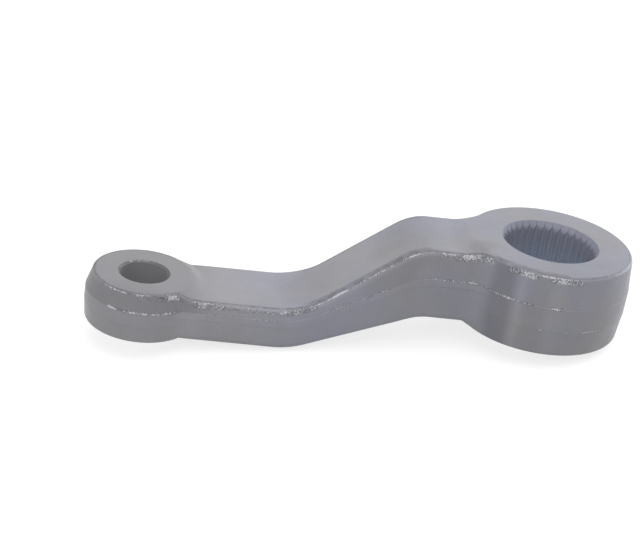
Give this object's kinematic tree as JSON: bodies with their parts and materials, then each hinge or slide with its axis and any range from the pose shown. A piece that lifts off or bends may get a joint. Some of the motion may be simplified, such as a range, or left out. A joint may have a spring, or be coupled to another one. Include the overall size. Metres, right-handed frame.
{
  "type": "pitman arm",
  "caption": "Forged drop pitman arm: tall boss with a tapered serrated shaft bore, a joggled drafted shank and a lower boss with a ball-stud taper hole.",
  "frame": {"origin": "on the shaft bore's axis, level with the shaft boss's upper face", "axes": "+Z along the shaft bore, up towards the steering gear; the shank runs from the shaft boss towards -X"},
  "size_m": [0.2043, 0.0652, 0.049],
  "materials": {
    "painted_forging": "satin"
  },
  "bodies": {
    "root": {"pitman_arm": "painted_forging"}
  },
  "joints": []
}
